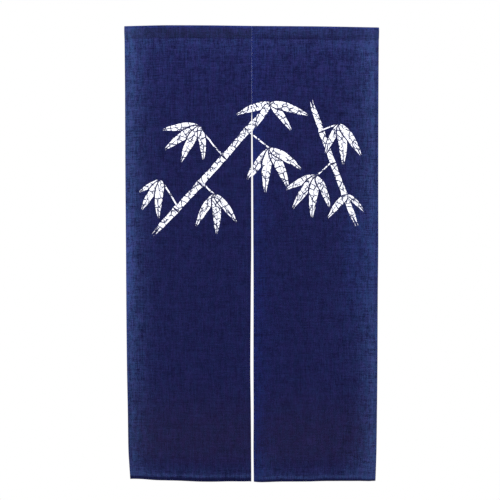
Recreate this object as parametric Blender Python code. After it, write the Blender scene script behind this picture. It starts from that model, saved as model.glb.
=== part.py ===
# A noren: two indigo panels sewn together at the top, each with a rod pocket folded from its own cloth.
# Metres, +Z up. X runs across the noren, its front faces -Y, and the origin is the middle of its top edge.
# Every piece is given the shape in which it hangs from a rod run through the pockets.
import math
from collections import namedtuple

import bpy
import numpy as np

for old in list(bpy.data.objects):
    bpy.data.objects.remove(old, do_unlink=True)

MM = 0.001

# Driving sizes
DROP = 1508 * MM               # top edge to hem
PANEL_WIDTH = 421.5 * MM       # one panel laid flat, hems folded
POCKET_HEIGHT = 44 * MM        # top edge to the line of stitches under the rod pocket
PIECE_GAP = 0.3 * MM           # between the pocket and the panel below it
CLOTH = 1.2 * MM               # one layer
HEM_LAYERS = 1.0 * MM          # what the folded hem adds on the back
SIDE_HEM = 16 * MM
BOTTOM_HEM = 20 * MM
HEM_STEP = 3 * MM              # over which a hem runs out to one layer

# The pocket's teardrop section, round at the top where the rod sits
POCKET_HALF_DEPTH = 12 * MM    # scale of the inside, whose widest half is 0.77 of it
POCKET_INSIDE = 40 * MM        # inside height
POCKET_WALL = 1.2 * MM
TAIL_HALF = 1.2 * MM           # half of the layers sewn together at the foot
POCKET_SIDES = 18              # facets around the teardrop
POCKET_COLUMNS = 11

# Cells of the panels' grids between their hems
PANEL_COLUMNS = 18
PANEL_ROWS = 34

# The hung outline: how far down, then X of the four upright edges
Level = namedtuple("Level", "drop left_outer left_slit right_slit right_outer")
OUTLINE = [
    Level(0, -421.7, -0.2, 0.2, 420.7),
    Level(230, -420.5, -0.2, 0.2, 419.6),
    Level(265, -420.4, -0.2, 0.2, 419.5),
    Level(330, -420.3, -2.3, 2.6, 419.4),
    Level(450, -420.1, -2.6, 3.6, 419.3),
    Level(700, -419.3, -2.8, 5.0, 419.2),
    Level(880, -418.7, -4.4, 5.8, 418.4),
    Level(1125, -417.3, -5.7, 6.1, 417.2),
    Level(1280, -415.4, -4.0, 6.1, 416.0),
    Level(1400, -412.8, -3.0, 6.2, 414.6),
    Level(1508, -407.0, -2.7, 6.4, 411.0),
]

# The top edge sags and tips a little along the rod
Station = namedtuple("Station", "across rise")
TOP_EDGE = [
    Station(-422, -1.0),
    Station(-270, 2.2),
    Station(-150, 1.8),
    Station(0, 0.0),
    Station(200, -1.4),
    Station(422, -5.2),
]

# How far back the cloth hangs at the hem, by distance from the slit
Fold = namedtuple("Fold", "across back")
LEFT_FOLDS = [
    Fold(0, 4), Fold(16, 2.5), Fold(75, 6), Fold(150, 0), Fold(215, 3),
    Fold(270, 12), Fold(325, 21), Fold(376, 34), Fold(421.5, 42),
]
RIGHT_FOLDS = [
    Fold(0, 4), Fold(22, -2), Fold(105, 5), Fold(180, 2), Fold(240, 9),
    Fold(300, 14), Fold(350, 10), Fold(390, 13), Fold(421.5, 21),
]
FOLD_GROWTH = 0.75             # power by which the folds deepen on the way down
SWAY = 2.2 * MM                # slow waves across the panel that drift sideways on the way down
SWAY_WAVES = 2.3
SWAY_DRIFT = 1.1


def smooth_value(rows, key, value, at):
    """Value at one place of the monotone cubic through a table's rows, all in millimetres."""
    xs = np.array([getattr(row, key) for row in rows], float)
    ys = np.array([getattr(row, value) for row in rows], float)
    steps = np.diff(xs)
    slopes = np.diff(ys) / steps
    tangents = np.concatenate(([slopes[0]], np.zeros(len(xs) - 2), [slopes[-1]]))
    for i in range(1, len(xs) - 1):
        before, after = slopes[i - 1], slopes[i]
        if before * after > 0:
            tangents[i] = 2 * before * after / (before + after)
    place = min(max(at / MM, xs[0]), xs[-1])
    i = min(int(np.searchsorted(xs, place, side="right")) - 1, len(steps) - 1)
    u = (place - xs[i]) / steps[i]
    start = (1 + 2 * u) * (1 - u) ** 2 * ys[i] + u * (1 - u) ** 2 * steps[i] * tangents[i]
    end = u * u * (3 - 2 * u) * ys[i + 1] - u * u * (1 - u) * steps[i] * tangents[i + 1]
    return (start + end) * MM


def top_rise(x):
    """Height of the top edge at X."""
    return smooth_value(TOP_EDGE, "across", "rise", x)


def hang_back(side, across, drop):
    """How far back (+Y) the cloth hangs, at a distance from the slit and a drop below the top edge."""
    rows = LEFT_FOLDS if side == "left" else RIGHT_FOLDS
    reach = max(0.0, (drop - POCKET_HEIGHT) / (DROP - POCKET_HEIGHT))
    wave = SWAY_WAVES * across / PANEL_WIDTH + SWAY_DRIFT * reach
    sway = SWAY * math.sin(math.tau * wave) * math.sin(math.pi * across / PANEL_WIDTH)
    return reach ** FOLD_GROWTH * (smooth_value(rows, "across", "back", across) + sway)


def panel_point(side, across, drop):
    """Middle of the cloth at a distance from the slit and a drop below the top edge."""
    slit = smooth_value(OUTLINE, "drop", side + "_slit", drop)
    outer = smooth_value(OUTLINE, "drop", side + "_outer", drop)
    x = slit + (outer - slit) * width_share(side, across, drop)
    below = max(0.0, (drop - POCKET_HEIGHT - PIECE_GAP) / (DROP - POCKET_HEIGHT))
    return np.array((x, hang_back(side, across, drop), top_rise(x) * (1 - below) - drop))


def width_share(side, across, drop):
    """Share of the hung width reached by cloth of this length, which the folds use up unevenly."""
    steps = 42
    edges = [PANEL_WIDTH * i / steps for i in range(steps + 1)]
    backs = [hang_back(side, edge, drop) for edge in edges]
    step = PANEL_WIDTH / steps
    spans = [math.sqrt(step ** 2 - (b - a) ** 2) for a, b in zip(backs, backs[1:])]
    reached = np.concatenate(([0.0], np.cumsum(spans)))
    return float(np.interp(across, edges, reached)) / reached[-1]


def panel_normal(side, across, drop):
    """Unit normal of the hung cloth, pointing to the back."""
    reach = 1 * MM
    along_width = panel_point(side, across + reach, drop) - panel_point(side, across - reach, drop)
    along_drop = panel_point(side, across, drop + reach) - panel_point(side, across, drop - reach)
    normal = np.cross(along_width, along_drop)
    normal *= math.copysign(1.0, normal[1])
    return normal / np.linalg.norm(normal)


def material(name, colour, roughness):
    """Plain Principled cloth."""
    made = bpy.data.materials.new(name)
    made.use_nodes = True
    shader = made.node_tree.nodes["Principled BSDF"]
    shader.inputs["Base Color"].default_value = (*colour, 1.0)
    shader.inputs["Roughness"].default_value = roughness
    shader.inputs["Metallic"].default_value = 0.0
    return made


def closed_object(name, points, faces, finish):
    """Object from points and faces, with its faces turned outwards."""
    mesh = bpy.data.meshes.new(name)
    mesh.from_pydata([tuple(point) for point in points], [], faces)
    mesh.materials.append(finish)
    made = bpy.data.objects.new(name, mesh)
    bpy.context.scene.collection.objects.link(made)
    corners = [[mesh.vertices[i].co for i in face.vertices] for face in mesh.polygons]
    volume = sum(c[0].dot(c[i].cross(c[i + 1])) for c in corners for i in range(1, len(c) - 1))
    if volume < 0:
        mesh.flip_normals()
    mesh.shade_smooth()
    mesh.set_sharp_from_angle(angle=math.radians(50))
    return made


def stops(length, hem_at_start, columns):
    """Grid lines across a length, with a pair where each hem runs out."""
    low = SIDE_HEM + HEM_STEP if hem_at_start else 0.0
    hem = SIDE_HEM if hem_at_start else BOTTOM_HEM
    high = length - hem - HEM_STEP
    inner = [low + (high - low) * i / columns for i in range(columns + 1)]
    start = [0.0, SIDE_HEM] if hem_at_start else []
    return start + inner + [length - hem, length]


def make_panel(side, finish):
    """One panel from under its pocket to its hem, as one closed sheet."""
    top = POCKET_HEIGHT + PIECE_GAP
    widths = stops(PANEL_WIDTH, True, PANEL_COLUMNS)
    drops = [top + drop for drop in stops(DROP - top, False, PANEL_ROWS)]
    front = []
    back = []
    for drop in drops:
        for across in widths:
            in_side_hem = across <= SIDE_HEM or across >= PANEL_WIDTH - SIDE_HEM
            hemmed = in_side_hem or drop >= DROP - BOTTOM_HEM
            middle = panel_point(side, across, drop)
            normal = panel_normal(side, across, drop)
            front.append(middle - normal * CLOTH / 2)
            back.append(middle + normal * (CLOTH / 2 + (HEM_LAYERS if hemmed else 0.0)))
    columns = len(widths)
    rows = len(drops)
    offset = len(front)
    faces = []
    for r in range(rows - 1):
        for c in range(columns - 1):
            a = r * columns + c
            faces.append((a, a + 1, a + columns + 1, a + columns))
            faces.append((offset + a + columns, offset + a + columns + 1, offset + a + 1, offset + a))
    rim = [c for c in range(columns)]
    rim += [r * columns + columns - 1 for r in range(1, rows)]
    rim += [(rows - 1) * columns + c for c in range(columns - 2, -1, -1)]
    rim += [r * columns for r in range(rows - 2, 0, -1)]
    for a, b in zip(rim, rim[1:] + rim[:1]):
        faces.append((b, a, offset + a, offset + b))
    return closed_object("panel_" + side, front + back, faces, finish)


def teardrop(half_depth, height, tail):
    """Depth and drop of each corner of a teardrop with a round top and a foot twice tail thick."""
    corners = []
    for i in range(POCKET_SIDES):
        turn = math.tau * (i + 0.5) / POCKET_SIDES
        depth = half_depth * math.sin(turn) * abs(math.sin(turn / 2))
        depth += math.copysign(tail * math.cos(turn / 2) ** 2, math.sin(turn))
        foot = math.cos(math.pi / POCKET_SIDES)
        corners.append((depth, height * (1 + math.cos(turn) / foot) / 2))
    return corners


def make_heading(side, finish):
    """The top of one panel folded over into a sleeve, open at both ends for the rod."""
    outer = teardrop(POCKET_HALF_DEPTH + POCKET_WALL, POCKET_HEIGHT, TAIL_HALF)
    inner = teardrop(POCKET_HALF_DEPTH, POCKET_INSIDE, 0.0)
    slit = getattr(OUTLINE[0], side + "_slit") * MM
    edge = getattr(OUTLINE[0], side + "_outer") * MM
    points = []
    for c in range(POCKET_COLUMNS + 1):
        x = slit + (edge - slit) * c / POCKET_COLUMNS
        rise = top_rise(x)
        points += [(x, depth, rise - drop) for depth, drop in outer]
        points += [(x, depth, rise - drop - POCKET_WALL) for depth, drop in inner]
    ring = 2 * POCKET_SIDES
    faces = []
    for c in range(POCKET_COLUMNS):
        for i in range(POCKET_SIDES):
            j = (i + 1) % POCKET_SIDES
            here, there = c * ring, (c + 1) * ring
            faces.append((here + i, here + j, there + j, there + i))
            k, l = i + POCKET_SIDES, j + POCKET_SIDES
            faces.append((here + l, here + k, there + k, there + l))
    for i in range(POCKET_SIDES):
        j = (i + 1) % POCKET_SIDES
        last = POCKET_COLUMNS * ring
        faces.append((j, i, i + POCKET_SIDES, j + POCKET_SIDES))
        faces.append((last + i, last + j, last + j + POCKET_SIDES, last + i + POCKET_SIDES))
    return closed_object("heading_" + side, points, faces, finish)


indigo = material("indigo_cloth", (0.017, 0.021, 0.10), 0.9)
for name in ("left", "right"):
    make_heading(name, indigo)
    make_panel(name, indigo)
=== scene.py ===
# %% [markdown]
# # A noren, cut, hemmed, printed and hung
# A noren is the split curtain of a Japanese doorway. This one is two lengths of indigo cloth, each with
# a rod pocket folded from its own top, sewn to each other for the first part of their drop and free
# below. The packed model holds the true sizes and the hung shape of each part as plain solids. This
# script loads it as a fixed frame and makes the cloth, thread and print that go over it.

# %% The packed model as a fixed frame
import math
from collections import namedtuple

import bpy
import numpy as np
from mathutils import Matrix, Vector


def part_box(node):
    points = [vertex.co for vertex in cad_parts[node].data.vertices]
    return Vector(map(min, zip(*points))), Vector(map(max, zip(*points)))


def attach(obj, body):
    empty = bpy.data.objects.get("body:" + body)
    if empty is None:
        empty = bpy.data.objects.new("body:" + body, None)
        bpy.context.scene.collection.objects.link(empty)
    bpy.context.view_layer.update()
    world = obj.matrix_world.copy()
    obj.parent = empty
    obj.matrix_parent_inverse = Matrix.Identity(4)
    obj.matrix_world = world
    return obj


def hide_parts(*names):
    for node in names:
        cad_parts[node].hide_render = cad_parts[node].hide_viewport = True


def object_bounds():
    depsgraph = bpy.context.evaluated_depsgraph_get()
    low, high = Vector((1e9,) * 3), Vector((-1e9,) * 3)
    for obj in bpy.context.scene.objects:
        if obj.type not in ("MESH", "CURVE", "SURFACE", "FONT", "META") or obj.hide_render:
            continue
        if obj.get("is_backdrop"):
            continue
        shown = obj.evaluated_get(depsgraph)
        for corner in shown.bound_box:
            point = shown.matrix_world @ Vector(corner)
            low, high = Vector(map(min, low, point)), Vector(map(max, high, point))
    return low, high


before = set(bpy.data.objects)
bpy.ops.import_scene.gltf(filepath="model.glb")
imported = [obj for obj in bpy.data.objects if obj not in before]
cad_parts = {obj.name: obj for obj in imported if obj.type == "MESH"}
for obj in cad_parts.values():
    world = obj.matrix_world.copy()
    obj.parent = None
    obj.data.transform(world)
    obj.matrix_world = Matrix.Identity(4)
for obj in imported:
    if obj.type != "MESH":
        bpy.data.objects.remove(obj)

cad_low, cad_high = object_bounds()
MM = 0.001
print("hung size in mm:", [round((high - low) / MM, 1) for low, high in zip(cad_low, cad_high)])

# %% [markdown]
# ## Sizes of the cut cloth
# A maker thinks of a panel in the flat: how wide it is between its folded edges, and how much cloth is
# turned under at each side, at the foot and at the top. Hems here are turned twice, which hides the raw
# edge in the middle of three layers. The same numbers could be measured from the frame, but a maker's
# list is easier to read and to change, so the frame is only used to check it.

# %% Sizes of the cut cloth
PANEL_WIDTH = 421.5 * MM
DROP = 1508 * MM
SIDE_HEM = 16 * MM
BOTTOM_HEM = 20 * MM
STITCH_LINE = 44 * MM          # drop of the stitches under the rod pocket
TURN_LINE = 46.5 * MM          # drop of the pocket's folded lower edge, at the back
TURNED_END = 36 * MM           # drop at which the turned-under raw end stops
CLOTH = 0.5 * MM
LAYER = 0.56 * MM              # from one layer to the next
FACE = -0.35 * MM              # the front layer's middle, from the middle of the hung cloth
SEAM_END = 265 * MM            # how far down the panels are sewn together

SIDES = {"left": -1, "right": 1}
hung = {side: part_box("panel_" + side) for side in SIDES}
print("drop in the frame:", round(-hung["left"][0].z / MM, 1), "and here:", round(DROP / MM, 1))

# %% [markdown]
# ## How the cloth hangs
# Hung cloth keeps its length but not its width: wherever it swings forward or back, it uses up width.
# A cloth simulation would find some such shape, but not this one. So the folds are listed in short
# tables, and the width they use up is worked out along each level of the drop. The outline's table
# gives X of the four upright edges, which draw in towards the foot as the outer corners curl back. Two
# more give how far the top edge and the foot stray from level.

# %% Tables of the hung shape, in millimetres
Level = namedtuple("Level", "drop left_outer left_slit right_slit right_outer")
OUTLINE = [
    Level(0, -421.7, -0.2, 0.2, 420.7),
    Level(230, -420.5, -0.2, 0.2, 419.6),
    Level(265, -420.4, -0.2, 0.2, 419.5),
    Level(330, -420.3, -2.0, 2.2, 419.4),
    Level(450, -420.1, -1.9, 3.4, 419.4),
    Level(700, -418.9, -1.9, 4.7, 419.7),
    Level(880, -418.0, -3.3, 5.7, 418.3),
    Level(1125, -416.2, -4.7, 5.5, 417.2),
    Level(1280, -413.6, -2.9, 6.0, 416.0),
    Level(1400, -412.0, -2.1, 5.3, 414.6),
    Level(1508, -405.8, -1.6, 6.4, 411.0),
]
Station = namedtuple("Station", "across rise")
TOP_EDGE = [
    Station(-422, -1.0),
    Station(-270, 2.2),
    Station(-150, 1.8),
    Station(0, 0.0),
    Station(200, -1.4),
    Station(422, -5.2),
]
FOOT_EDGE = [
    Station(-422, 0.6),
    Station(-380, 2.5),
    Station(-325, 0.9),
    Station(-265, 1.2),
    Station(-165, -1.1),
    Station(-10, -0.8),
    Station(15, -2.7),
    Station(100, -1.4),
    Station(285, -0.5),
    Station(345, -0.2),
    Station(400, -1.7),
    Station(422, -1.2),
]
Fold = namedtuple("Fold", "across back")
FOLDS = {
    "left": [
        Fold(0, 4), Fold(16, 2.5), Fold(75, 6), Fold(150, 0), Fold(215, 3),
        Fold(270, 12), Fold(325, 21), Fold(376, 34), Fold(421.5, 42),
    ],
    "right": [
        Fold(0, 4), Fold(22, -2), Fold(105, 5), Fold(180, 2), Fold(240, 9),
        Fold(300, 14), Fold(350, 10), Fold(390, 13), Fold(421.5, 21),
    ],
}
FOLD_GROWTH = 0.75
SWAY = 2.2 * MM
SWAY_WAVES = 2.3
SWAY_DRIFT = 1.1


def smooth_value(rows, key, value, at):
    """Values in metres of the monotone cubic through a table's rows, for an array of places."""
    xs = np.array([getattr(row, key) for row in rows], float) * MM
    ys = np.array([getattr(row, value) for row in rows], float) * MM
    slopes = np.diff(ys) / np.diff(xs)
    before, after = slopes[:-1], slopes[1:]
    tangents = np.zeros(len(xs))
    tangents[0], tangents[-1] = slopes[0], slopes[-1]
    onward = before * after > 0
    tangents[1:-1][onward] = 2 * before[onward] * after[onward] / (before + after)[onward]
    at = np.clip(np.asarray(at, float), xs[0], xs[-1])
    i = np.clip(np.searchsorted(xs, at, side="right") - 1, 0, len(slopes) - 1)
    step = xs[i + 1] - xs[i]
    u = (at - xs[i]) / step
    start = (1 + 2 * u) * (1 - u) ** 2 * ys[i] + u * (1 - u) ** 2 * step * tangents[i]
    return start + u * u * (3 - 2 * u) * ys[i + 1] - u * u * (1 - u) * step * tangents[i + 1]


def hang_back(side, across, drop):
    """How far back the cloth hangs, by distance from the slit and drop below the top edge."""
    reach = np.clip((drop - STITCH_LINE) / (DROP - STITCH_LINE), 0, None)
    wave = SWAY_WAVES * across / PANEL_WIDTH + SWAY_DRIFT * reach
    sway = SWAY * np.sin(math.tau * wave) * np.sin(math.pi * np.clip(across / PANEL_WIDTH, 0, 1))
    return reach ** FOLD_GROWTH * (smooth_value(FOLDS[side], "across", "back", across) + sway)


print("deepest fold at the foot in mm:", max(fold.back for row in FOLDS.values() for fold in row))

# %% [markdown]
# ## From flat cloth to a place in the air
# A table of how far across each level every bit of cloth reaches is made once, because each later call
# needs it. Then one function turns a place on the cloth, given as its distance from the slit, its drop
# and its depth behind the face, into X, Y and Z. Everything sewn to the cloth uses it too, so a stitch
# always lies on its own bit of cloth.

# %% From flat cloth to a place in the air
TABLE_COLUMNS = 60
TABLE_ROWS = 90


def reach_table(side):
    """Share of the hung width that the cloth has covered, for even steps across and down."""
    across = np.linspace(0, PANEL_WIDTH, TABLE_COLUMNS)
    drops = np.linspace(0, DROP, TABLE_ROWS)
    backs = hang_back(side, across[None, :], drops[:, None])
    step = across[1] - across[0]
    spans = np.sqrt(step ** 2 - np.diff(backs, axis=1) ** 2)
    covered = np.concatenate((np.zeros((TABLE_ROWS, 1)), np.cumsum(spans, axis=1)), axis=1)
    return covered / covered[:, -1:]


REACH = {side: reach_table(side) for side in SIDES}


def reach_at(side, across, drop):
    """Share of the hung width at any place, read between the table's entries."""
    c = np.clip(across / PANEL_WIDTH, 0, 1) * (TABLE_COLUMNS - 1)
    r = np.clip(drop / DROP, 0, 1) * (TABLE_ROWS - 1)
    c0 = np.minimum(c.astype(int), TABLE_COLUMNS - 2)
    r0 = np.minimum(r.astype(int), TABLE_ROWS - 2)
    table, fc, fr = REACH[side], c - c0, r - r0
    upper = table[r0, c0] * (1 - fc) + table[r0, c0 + 1] * fc
    lower = table[r0 + 1, c0] * (1 - fc) + table[r0 + 1, c0 + 1] * fc
    return upper * (1 - fr) + lower * fr


def hung_surface(side, across, drop):
    """The middle of the hung cloth, as an array of points."""
    slit = smooth_value(OUTLINE, "drop", side + "_slit", drop)
    outer = smooth_value(OUTLINE, "drop", side + "_outer", drop)
    x = slit + (outer - slit) * reach_at(side, across, drop)
    below = np.clip((drop - STITCH_LINE) / (DROP - STITCH_LINE), 0, 1)
    top = smooth_value(TOP_EDGE, "across", "rise", x)
    foot = smooth_value(FOOT_EDGE, "across", "rise", x)
    z = top * (1 - below) + foot * below - drop
    return np.stack((x, hang_back(side, across, drop), z), axis=-1)


def back_normal(side, across, drop):
    """Unit normals of the hung cloth, pointing to its back."""
    near = 1.5 * MM
    wide = hung_surface(side, across + near, drop) - hung_surface(side, across - near, drop)
    down = hung_surface(side, across, drop + near) - hung_surface(side, across, drop - near)
    normal = np.cross(wide, down)
    normal *= np.sign(normal[..., 1:2])
    return normal / np.linalg.norm(normal, axis=-1, keepdims=True)


def cloth_place(side, across, drop, depth):
    """Places at a depth behind the middle of the hung cloth."""
    across, drop, depth = np.broadcast_arrays(across, drop, depth)
    return hung_surface(side, across, drop) + back_normal(side, across, drop) * depth[..., None]


corner = cloth_place("left", np.array([PANEL_WIDTH]), np.array([DROP]), np.array([0.0]))[0]
print("outer corner of the left panel in mm:", [round(float(v) / MM, 1) for v in corner])

# %% [markdown]
# ## The path of the cloth through its folds
# Across, each side is turned in twice. Down, the cloth starts with the raw end turned under inside the
# pocket, goes up the pocket's back, over the rod, down its front, down the whole panel and into the
# hem. A curtain is often modelled as a sheet with strips laid on it for hems. Following the cloth itself
# costs no more, and gives folded edges that are round and layers that can be counted from behind.
#
# Where both kinds of fold cross, at the corners, each turn at the foot wraps all three layers of the
# side hem. The thickness of that block is what the path down the cloth has to know.

# %% Stations across the cloth
Across = namedtuple("Across", "place layer cut")
EDGE_ROUND = 1.5 * MM
COLUMN = 4.0 * MM
FOLD_AT = 0.10 * MM            # the cloth's middle at a folded edge; its skin then meets the outline


def hem_stations():
    """From the raw edge, hidden in the hem's middle, out round the folded edge and onto the face."""
    turn = 0.8 * MM
    return [
        Across(2.0 * MM, 1.0, -30.0 * MM),
        Across(SIDE_HEM - turn, 1.0, -17.2 * MM),
        Across(SIDE_HEM, 1.5, -16.2 * MM),
        Across(SIDE_HEM - turn, 2.0, -15.2 * MM),
        Across(8.0 * MM, 2.0, -8.0 * MM),
        Across(EDGE_ROUND, 2.0, -1.6 * MM),
        Across(FOLD_AT + 0.35 * MM, 1.75, -0.7 * MM),
        Across(FOLD_AT, 1.0, 0.0),
        Across(FOLD_AT + 0.35 * MM, 0.25, 0.35 * MM),
        Across(EDGE_ROUND, 0.0, EDGE_ROUND),
    ]


def across_stations():
    """Every station from one raw edge to the other; cut is the place on the flat cloth."""
    hem = hem_stations()
    cells = round((PANEL_WIDTH - 2 * EDGE_ROUND) / COLUMN)
    step = (PANEL_WIDTH - 2 * EDGE_ROUND) / cells
    face = [EDGE_ROUND + step * i for i in range(1, cells)]
    middle = [Across(place, 0.0, place) for place in face]
    far = [Across(PANEL_WIDTH - s.place, s.layer, PANEL_WIDTH - s.cut) for s in reversed(hem)]
    return hem + middle + far


STATIONS = across_stations()
PLACE = np.array([s.place for s in STATIONS])
LAYERS_IN = np.array([s.layer for s in STATIONS])
CUT_ACROSS = np.array([s.cut for s in STATIONS])
HEM_RUNOUT = 3 * MM
from_edge = np.minimum(PLACE, PANEL_WIDTH - PLACE)
BLOCK = 1 + 2 * np.clip((SIDE_HEM + HEM_RUNOUT - from_edge) / HEM_RUNOUT, 0, 1)
print(len(STATIONS), "columns; cut width in mm:", round((CUT_ACROSS[-1] - CUT_ACROSS[0]) / MM, 1))

# %% [markdown]
# ## Stations down the cloth
# The other half of the grid runs down: into the pocket, over the rod, down the face and round the hem.
# One list for all columns would be simpler, but at the corners each fold goes round a block of three
# layers. So a station holds a value for every column.

# %% Stations down the cloth
# Each station is the drop and depth of the cloth's outer layer, and the direction in which its hem
# layers lie inside it, as arrays over the columns.
Down = namedtuple("Down", "drop depth in_drop in_depth")
POCKET_SCALE = 12.9 * MM
ROW = 4.9 * MM


def flat_run(drops, depth, inward):
    """Straight stations at one depth, with the hem layers in front (-1) or behind (+1)."""
    ones = np.ones_like(BLOCK)
    return [Down(drop * ones, depth * ones, 0 * ones, inward * ones) for drop in drops]


def round_turn(drop, depth_from, depth_to, downward):
    """Half a turn between two depths, bulging down (+1) or up (-1)."""
    middle = (depth_from + depth_to) / 2
    radius = abs(depth_to - depth_from) / 2
    way = np.sign(depth_to - depth_from)
    turns = np.radians([-60, -30, 0, 30, 60])
    return [
        Down(
            drop + downward * radius * math.cos(t),
            middle + way * radius * math.sin(t),
            -downward * math.cos(t) * np.ones_like(BLOCK),
            -way * math.sin(t) * np.ones_like(BLOCK),
        )
        for t in turns
    ]


def pocket_wall(front_foot, back_foot):
    """Up the back of the teardrop and down its front."""
    turns = np.radians(np.concatenate((np.linspace(20, 340, 41), [349])))
    foot = np.where(np.sin(turns)[:, None] > 0, back_foot, -front_foot)
    bulge = POCKET_SCALE * np.sin(turns) * np.sin(turns / 2)
    depth = bulge[:, None] + np.sign(np.sin(turns))[:, None] * foot * (np.cos(turns / 2) ** 2)[:, None]
    drop = STITCH_LINE * (1 + np.cos(turns)) / 2 + CLOTH / 2 * (1 - np.cos(turns)) / 2
    drop = drop[:, None] * np.ones_like(depth)
    along_drop = np.gradient(drop, axis=0)
    along_depth = np.gradient(depth, axis=0)
    size = np.hypot(along_drop, along_depth)
    return [
        Down(drop[i], depth[i], -along_depth[i] / size[i], along_drop[i] / size[i])
        for i in range(len(turns))
    ]


def down_stations():
    """The whole path down the cloth, from the raw end in the pocket to the one in the hem."""
    face = FACE * np.ones_like(BLOCK)
    inner = FACE + BLOCK * LAYER
    outer = FACE + (3 * BLOCK - 1) * LAYER
    path = flat_run([TURNED_END, (TURNED_END + TURN_LINE) / 2], inner, 1)
    path += round_turn(TURN_LINE, inner, outer, 1)
    path += flat_run([TURN_LINE - 1 * MM], outer, -1)
    path += pocket_wall(face, outer)
    rows = round((DROP - STITCH_LINE - BOTTOM_HEM) / ROW)
    hem_top = DROP - BOTTOM_HEM
    path += flat_run(np.linspace(STITCH_LINE + 0.8 * MM, hem_top, rows), face, 1)
    path += flat_run(np.linspace(hem_top, DROP - 4 * MM, 5)[1:], face, 1)
    path += round_turn(DROP - (CLOTH + outer - face) / 2, face, outer, 1)
    path += flat_run([DROP - 4 * MM, DROP - 12 * MM, hem_top + 1.5 * MM], outer, -1)
    path += round_turn(hem_top + (outer - inner) / 2, outer, inner, -1)
    path += flat_run([hem_top + 3 * MM, DROP - 5 * MM], inner, 1)
    return path


PATH = down_stations()
print(len(PATH), "rows,", 4 * len(PATH) * len(STATIONS) - 4, "triangles in a panel's cloth")

# %% [markdown]
# ## Small unevenness
# Cloth that has been folded in a packet and sewn is never quite flat. Along a line of machine stitches it
# puckers in ripples one or two centimetres long, and across the panel it keeps low, long swells. A bump
# map could fake both, but the edge of the hem would stay straight, so the points are moved instead. Each
# effect is a sum of a few waves whose directions and phases come from a seeded generator, which gives
# the same cloth every time.

# %% Small unevenness
PUCKER = 0.34 * MM
PUCKER_FADE = 9 * MM
SWELL = 0.62 * MM
FREE_BELOW = 120 * MM          # below the pocket, where the swells reach their full height
Waves = namedtuple("Waves", "count shortest longest slant")
SWELLS = Waves(9, 70 * MM, 210 * MM, 0.35)
RIPPLES_ACROSS = Waves(5, 10 * MM, 21 * MM, 0.1)
RIPPLES_DOWN = Waves(5, 12 * MM, 26 * MM, 0.1)
Wave = namedtuple("Wave", "across down phase")


def seeded_waves(seed, count, shortest, longest, slant):
    """Waves with lengths in metres; slant is how much they also run down the cloth."""
    rng = np.random.default_rng(seed)
    lengths = rng.uniform(shortest, longest, count)
    tilts = rng.uniform(-slant, slant, count)
    phases = rng.uniform(0, math.tau, count)
    return [Wave(math.tau / l, math.tau / l * t, p) for l, t, p in zip(lengths, tilts, phases)]


def add_up(waves, across, down):
    """Sum of the waves, with a standard height of about one."""
    total = sum(np.cos(w.across * across + w.down * down + w.phase) for w in waves)
    return total * math.sqrt(2 / len(waves))


def unevenness(side, across, drop):
    """How far each bit of cloth stands back from the plain hung shape."""
    seed = 7 if side == "left" else 19
    swell = add_up(seeded_waves(seed, *SWELLS), across, drop)
    ripple_across = add_up(seeded_waves(seed + 1, *RIPPLES_ACROSS), across, drop)
    ripple_down = add_up(seeded_waves(seed + 2, *RIPPLES_DOWN), drop, across)
    edge = np.minimum(across, PANEL_WIDTH - across)
    near_seam = np.exp(-np.abs(drop - STITCH_LINE) / PUCKER_FADE)
    near_hem = np.exp(-np.abs(drop - (DROP - BOTTOM_HEM)) / PUCKER_FADE)
    near_side = np.exp(-np.abs(edge - SIDE_HEM) / PUCKER_FADE)
    free = np.clip((drop - STITCH_LINE) / FREE_BELOW, 0, 1)
    still = np.clip(edge / (4 * MM), 0, 1)
    pucker = ripple_across * (near_seam + 0.8 * near_hem) + 0.7 * ripple_down * near_side
    return SWELL * swell * free + PUCKER * pucker * still


sample = unevenness("left", np.linspace(0, PANEL_WIDTH, 200), np.full(200, 0.7))
print("swell across the left panel in mm:", round(float(np.ptp(sample)) / MM, 2))

# %% [markdown]
# ## Weaving the sheet
# The stations across and down cross in a grid. Its points are the middle of the cloth, its normals come
# from the grid itself, and half the cloth's thickness to each side gives a closed sheet with a rim at
# the raw edges. A Solidify modifier would do nearly the same, but it slips at folds this tight. The
# flat cloth's own measures go into a UV map in metres, so that the print and the weave follow the cloth
# round each fold and never stretch.

# %% Weaving the sheet
def cut_lengths(points):
    """Place of each row on the flat cloth, measured down the middle column, 0 at the top edge."""
    column = points[:, points.shape[1] // 2]
    steps = np.linalg.norm(np.diff(column, axis=0), axis=1)
    along = np.concatenate(([0.0], np.cumsum(steps)))
    return along - along[np.argmax(column[:, 2])]


def sheet_grid(side):
    """Middle of the cloth at every crossing, with the drops that it was made from."""
    drop = np.array([row.drop + row.in_drop * LAYERS_IN * LAYER for row in PATH])
    depth = np.array([row.depth + row.in_depth * LAYERS_IN * LAYER for row in PATH])
    across = np.broadcast_to(PLACE, drop.shape)
    return cloth_place(side, across, drop, depth + unevenness(side, across, drop))


def grid_normals(points):
    """Unit normals of a grid of points."""
    normal = np.cross(np.gradient(points, axis=1), np.gradient(points, axis=0))
    return normal / np.linalg.norm(normal, axis=-1, keepdims=True)


def sheet_faces(rows, columns):
    """Quads of the two sides and the rim of a closed sheet."""
    at = np.arange(rows * columns).reshape(rows, columns)
    over = at + rows * columns
    front = np.stack((at[:-1, :-1], at[:-1, 1:], at[1:, 1:], at[1:, :-1]), axis=-1).reshape(-1, 4)
    back = np.stack((over[:-1, :-1], over[1:, :-1], over[1:, 1:], over[:-1, 1:]), axis=-1).reshape(-1, 4)
    ring = np.concatenate((at[0], at[1:, -1], at[-1, -2::-1], at[-2:0:-1, 0]))
    after = np.roll(ring, -1)
    rim = np.stack((after, ring, ring + rows * columns, after + rows * columns), axis=-1)
    return np.concatenate((front, back, rim))


print("crossings in the grid of a panel:", len(PATH) * len(STATIONS))

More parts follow.
